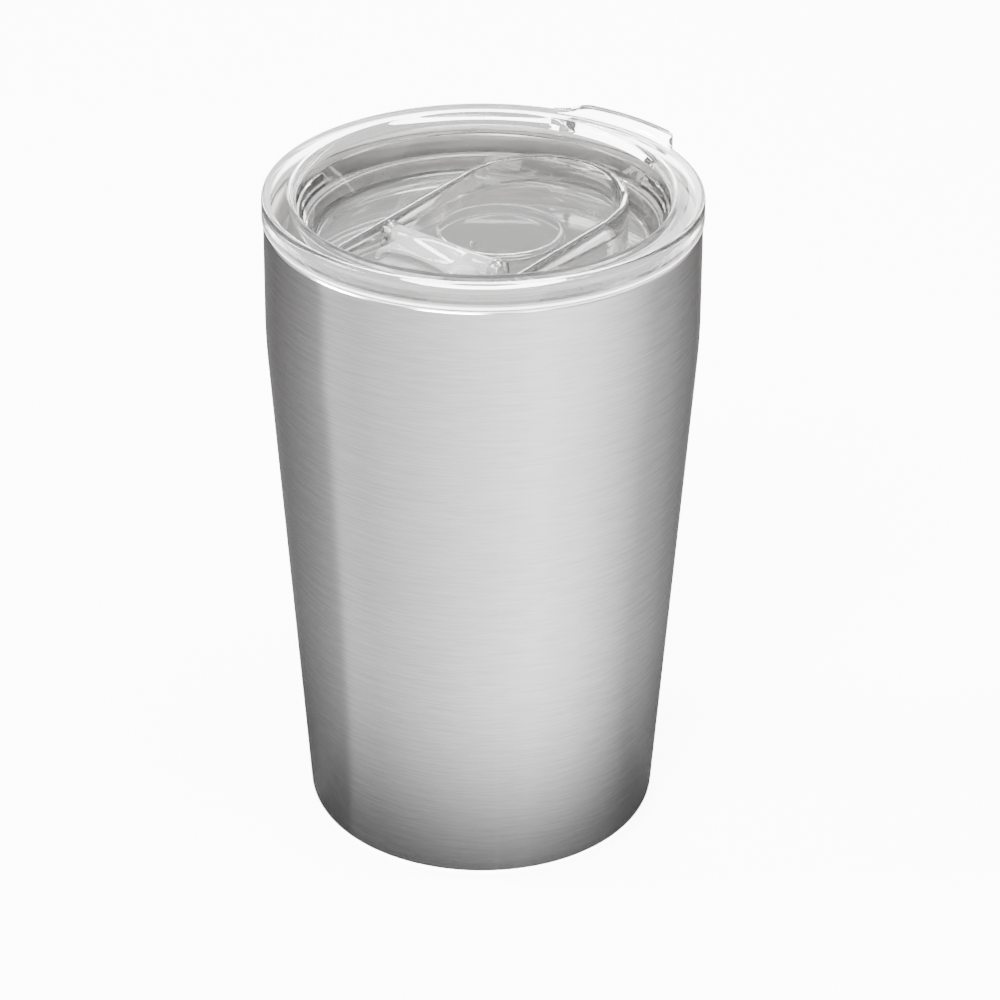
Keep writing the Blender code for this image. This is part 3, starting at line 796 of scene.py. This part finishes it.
def camera():
    data = bpy.data.cameras.new("camera")
    data.lens = CAMERA_LENS
    data.sensor_width = 36.0
    data.shift_x, data.shift_y = CAMERA_SHIFT
    data.clip_start = 0.01
    obj = bpy.data.objects.new("camera", data)
    studio.objects.link(obj)
    back = towards(CAMERA_AZIMUTH, CAMERA_ELEVATION)
    obj.location = Vector((0.0, 0.0, AIM_HEIGHT)) + back * CAMERA_DISTANCE
    obj.rotation_mode = "QUATERNION"
    obj.rotation_quaternion = (-back).to_track_quat("-Z", "Y") @ Quaternion((0.0, 0.0, 1.0), CAMERA_ROLL)
    bpy.context.scene.camera = obj


def soft_light(name, azimuth, elevation, width, height, power):
    data = bpy.data.lights.new(name, "AREA")
    data.shape = "RECTANGLE"
    data.size = width
    data.size_y = height
    data.energy = power
    obj = bpy.data.objects.new(name, data)
    studio.objects.link(obj)
    way = towards(CAMERA_AZIMUTH + math.radians(azimuth), math.radians(elevation))
    obj.location = Vector((0.0, 0.0, AIM_HEIGHT)) + way * LIGHT_DISTANCE
    obj.rotation_mode = "QUATERNION"
    obj.rotation_quaternion = (-way).to_track_quat("-Z", "Y")


def floor():
    """White light table that the object stands on."""
    mesh = bpy.data.meshes.new("floor")
    sheet = bmesh.new()
    bmesh.ops.create_grid(sheet, x_segments=1, y_segments=1, size=FLOOR_SIZE / 2)
    sheet.to_mesh(mesh)
    sheet.free()
    obj = bpy.data.objects.new("floor", mesh)
    studio.objects.link(obj)
    nodes = Nodes("pale_floor")
    grain = nodes.noise(nodes.place(), 40.0, 3.0, 0.5)
    nodes.link(nodes.grey(nodes.spread(grain, 0.9, 0.91)), nodes.shader.inputs["Base Color"])
    nodes.set(Roughness=0.7, Emission_Color=(1.0, 1.0, 1.0, 1.0), Emission_Strength=FLOOR_GLOW)
    obj.data.materials.append(nodes.material)


def world():
    made = bpy.data.worlds.new("studio")
    made.use_nodes = True
    background = made.node_tree.nodes["Background"]
    background.inputs["Color"].default_value = (1.0, 1.0, 1.0, 1.0)
    background.inputs["Strength"].default_value = ROOM_LIGHT
    bpy.context.scene.world = made


# Painted reflection: brightness of the reflection-only card, by its bearing from the camera's side in
# degrees. These painted bands are what gives the steel its light front and dark sides.
PAINTED_REFLECTION_RAMP = (
    (-180, 1.0), (-162, 0.18), (-135, 0.12), (-112, 0.2), (-92, 0.36), (-88, 0.95),
    (-68, 0.92), (-35, 1.35), (11, 2.2), (33, 2.6), (57, 2.15), (77, 1.4),
    (98, 0.6), (125, 0.25), (145, 0.13), (162, 0.2), (180, 1.0),
)
# How much green and blue the darkest part of the card gives up: a warm tint painted into the dark reflection
# bands.
PAINTED_REFLECTION_WARMTH = (0.04, 0.055)
# Painted shadow: distances from the axis between which the card's brightness rises from its lowest share to
# full, darkening the reflected floor close to the object.
PAINTED_SHADOW_NEAR = 0.034
PAINTED_SHADOW_FAR = 0.104
PAINTED_SHADOW_SHARE = 0.05
# The bearing is taken about a point this far in front of the axis.
PAINTED_REFLECTION_CENTRE = 0.022
PAINTED_REFLECTION_RADIUS = 0.9
PAINTED_REFLECTION_WALL = 0.42
PAINTED_REFLECTION_LIFT = 0.0008


def painted_reflection_material():
    """Painted reflection card: bright in front of the object, dark beside it, with a painted shadow that
    dims it close to the object.
    """
    nodes = Nodes("painted_reflection_card")
    tree = nodes.tree
    tree.nodes.remove(nodes.shader)
    place = nodes.place()
    x, y, _ = nodes.split(place)
    # Painted reflection bands: the card's brightness is set by the bearing around the object.
    bearing = nodes.math("ARCTAN2", x, nodes.math("MULTIPLY_ADD", y, -1.0, -PAINTED_REFLECTION_CENTRE))
    share = nodes.math("MULTIPLY_ADD", bearing, 0.5 / math.pi, 0.5)
    ramp = nodes.node("ShaderNodeValToRGB")
    nodes.link(share, ramp.inputs[0])
    top = max(value for _, value in PAINTED_REFLECTION_RAMP)
    stops = ramp.color_ramp.elements
    while len(stops) > 1:
        stops.remove(stops[0])
    stops[0].position = 0.0
    for index, (degrees, value) in enumerate(PAINTED_REFLECTION_RAMP):
        stop = stops[0] if index == 0 else stops.new(0.5 + degrees / 360)
        dark = 1 - value / top
        green, blue = [value / top * (1 - warmth * dark) for warmth in PAINTED_REFLECTION_WARMTH]
        stop.color = (value / top, green, blue, 1.0)
    # Painted shadow: the card dims close to the object, standing in for the floor's shade as the steel
    # reflects it.
    distance = nodes.node("ShaderNodeVectorMath", operation="LENGTH")
    nodes.link(place, distance.inputs[0])
    near = nodes.spread(
        distance.outputs["Value"], PAINTED_SHADOW_SHARE, 1.0, PAINTED_SHADOW_NEAR, PAINTED_SHADOW_FAR, "SMOOTHSTEP")
    painted_reflection_glow = nodes.node("ShaderNodeEmission")
    nodes.link(ramp.outputs["Color"], painted_reflection_glow.inputs["Color"])
    nodes.link(nodes.math("MULTIPLY", near, top), painted_reflection_glow.inputs["Strength"])
    nodes.link(painted_reflection_glow.outputs[0], tree.nodes["Material Output"].inputs["Surface"])
    return nodes.material


def painted_reflection_card():
    """Round card with a low wall, on the floor, glowing with painted reflection bands; only reflections see
    it.
    """
    mesh = bpy.data.meshes.new("painted_reflection_card")
    sheet = bmesh.new()
    bmesh.ops.create_circle(sheet, cap_ends=True, segments=96, radius=PAINTED_REFLECTION_RADIUS)
    rim = [edge for edge in sheet.edges if edge.is_boundary]
    wall = bmesh.ops.extrude_edge_only(sheet, edges=rim)["geom"]
    upper = [vert for vert in wall if isinstance(vert, bmesh.types.BMVert)]
    bmesh.ops.translate(sheet, vec=(0.0, 0.0, PAINTED_REFLECTION_WALL), verts=upper)
    bmesh.ops.translate(sheet, vec=(0.0, 0.0, PAINTED_REFLECTION_LIFT), verts=sheet.verts)
    sheet.to_mesh(mesh)
    sheet.free()
    obj = bpy.data.objects.new("painted_reflection_card", mesh)
    # The card is turned by the camera's azimuth, so its painted bands line up with the view.
    obj.matrix_world = Matrix.Rotation(CAMERA_AZIMUTH, 4, "Z")
    obj.data.materials.append(painted_reflection_material())
    # Hidden from camera, diffuse, shadow and transmission rays: the card is only a painted reflection and
    # lights nothing.
    obj.visible_camera = False
    obj.visible_diffuse = False
    obj.visible_shadow = False
    obj.visible_transmission = False
    studio.objects.link(obj)


camera()
floor()
world()
painted_reflection_card()
for light in LIGHTS:
    soft_light(*light)

body_steel = brushed_steel("brushed_steel", (0.72, 0.72, 0.725), 0.19, 0.14)
# The liner's colour is darker than the body steel: painted shade of the cup's shadowed inside, on a real
# satin finish (roughness and grain).
liner_steel_with_painted_shade = simple_metal("satin_liner_with_painted_shade", (0.46, 0.452, 0.444), 0.34, 60.0, 0.00001)
base_steel = brushed_steel("satin_base", (0.66, 0.66, 0.66), 0.3, 0.1, flat=True)
lid_plastic = clear_plastic("clear_plastic", 0.02, 0.98, (0.985, 0.975, 0.968), hazy=True)
lever_plastic = clear_plastic("frosted_plastic", 0.05, 0.78, (0.95, 0.94, 0.935))
silicone = clear_silicone("clear_silicone")

outer_shell(body_steel)
inner_liner(liner_steel_with_painted_shade)
lid_body(lid_plastic)
lid_gasket(silicone)
flip_lever(lever_plastic)
plug_seal(silicone)

CARRIED = (
    ("base_plate", base_steel),
    ("base_cover", base_steel),
    ("radiation_foil", simple_metal("copper_foil", (0.75, 0.45, 0.32), 0.3, 400.0, 0.00003)),
    ("vacuum_seal", simple_metal("glass_solder", (0.2, 0.22, 0.24), 0.25, 900.0, 0.00005)),
    ("getter_tablet", simple_metal("getter_metal", (0.35, 0.35, 0.36), 0.6, 1500.0, 0.00005)),
)
for node, finish in CARRIED:
    materials = frame["nodes"][node].data.materials
    materials.clear()
    materials.append(finish)

for guide in list(guides.objects):
    bpy.data.objects.remove(guide)
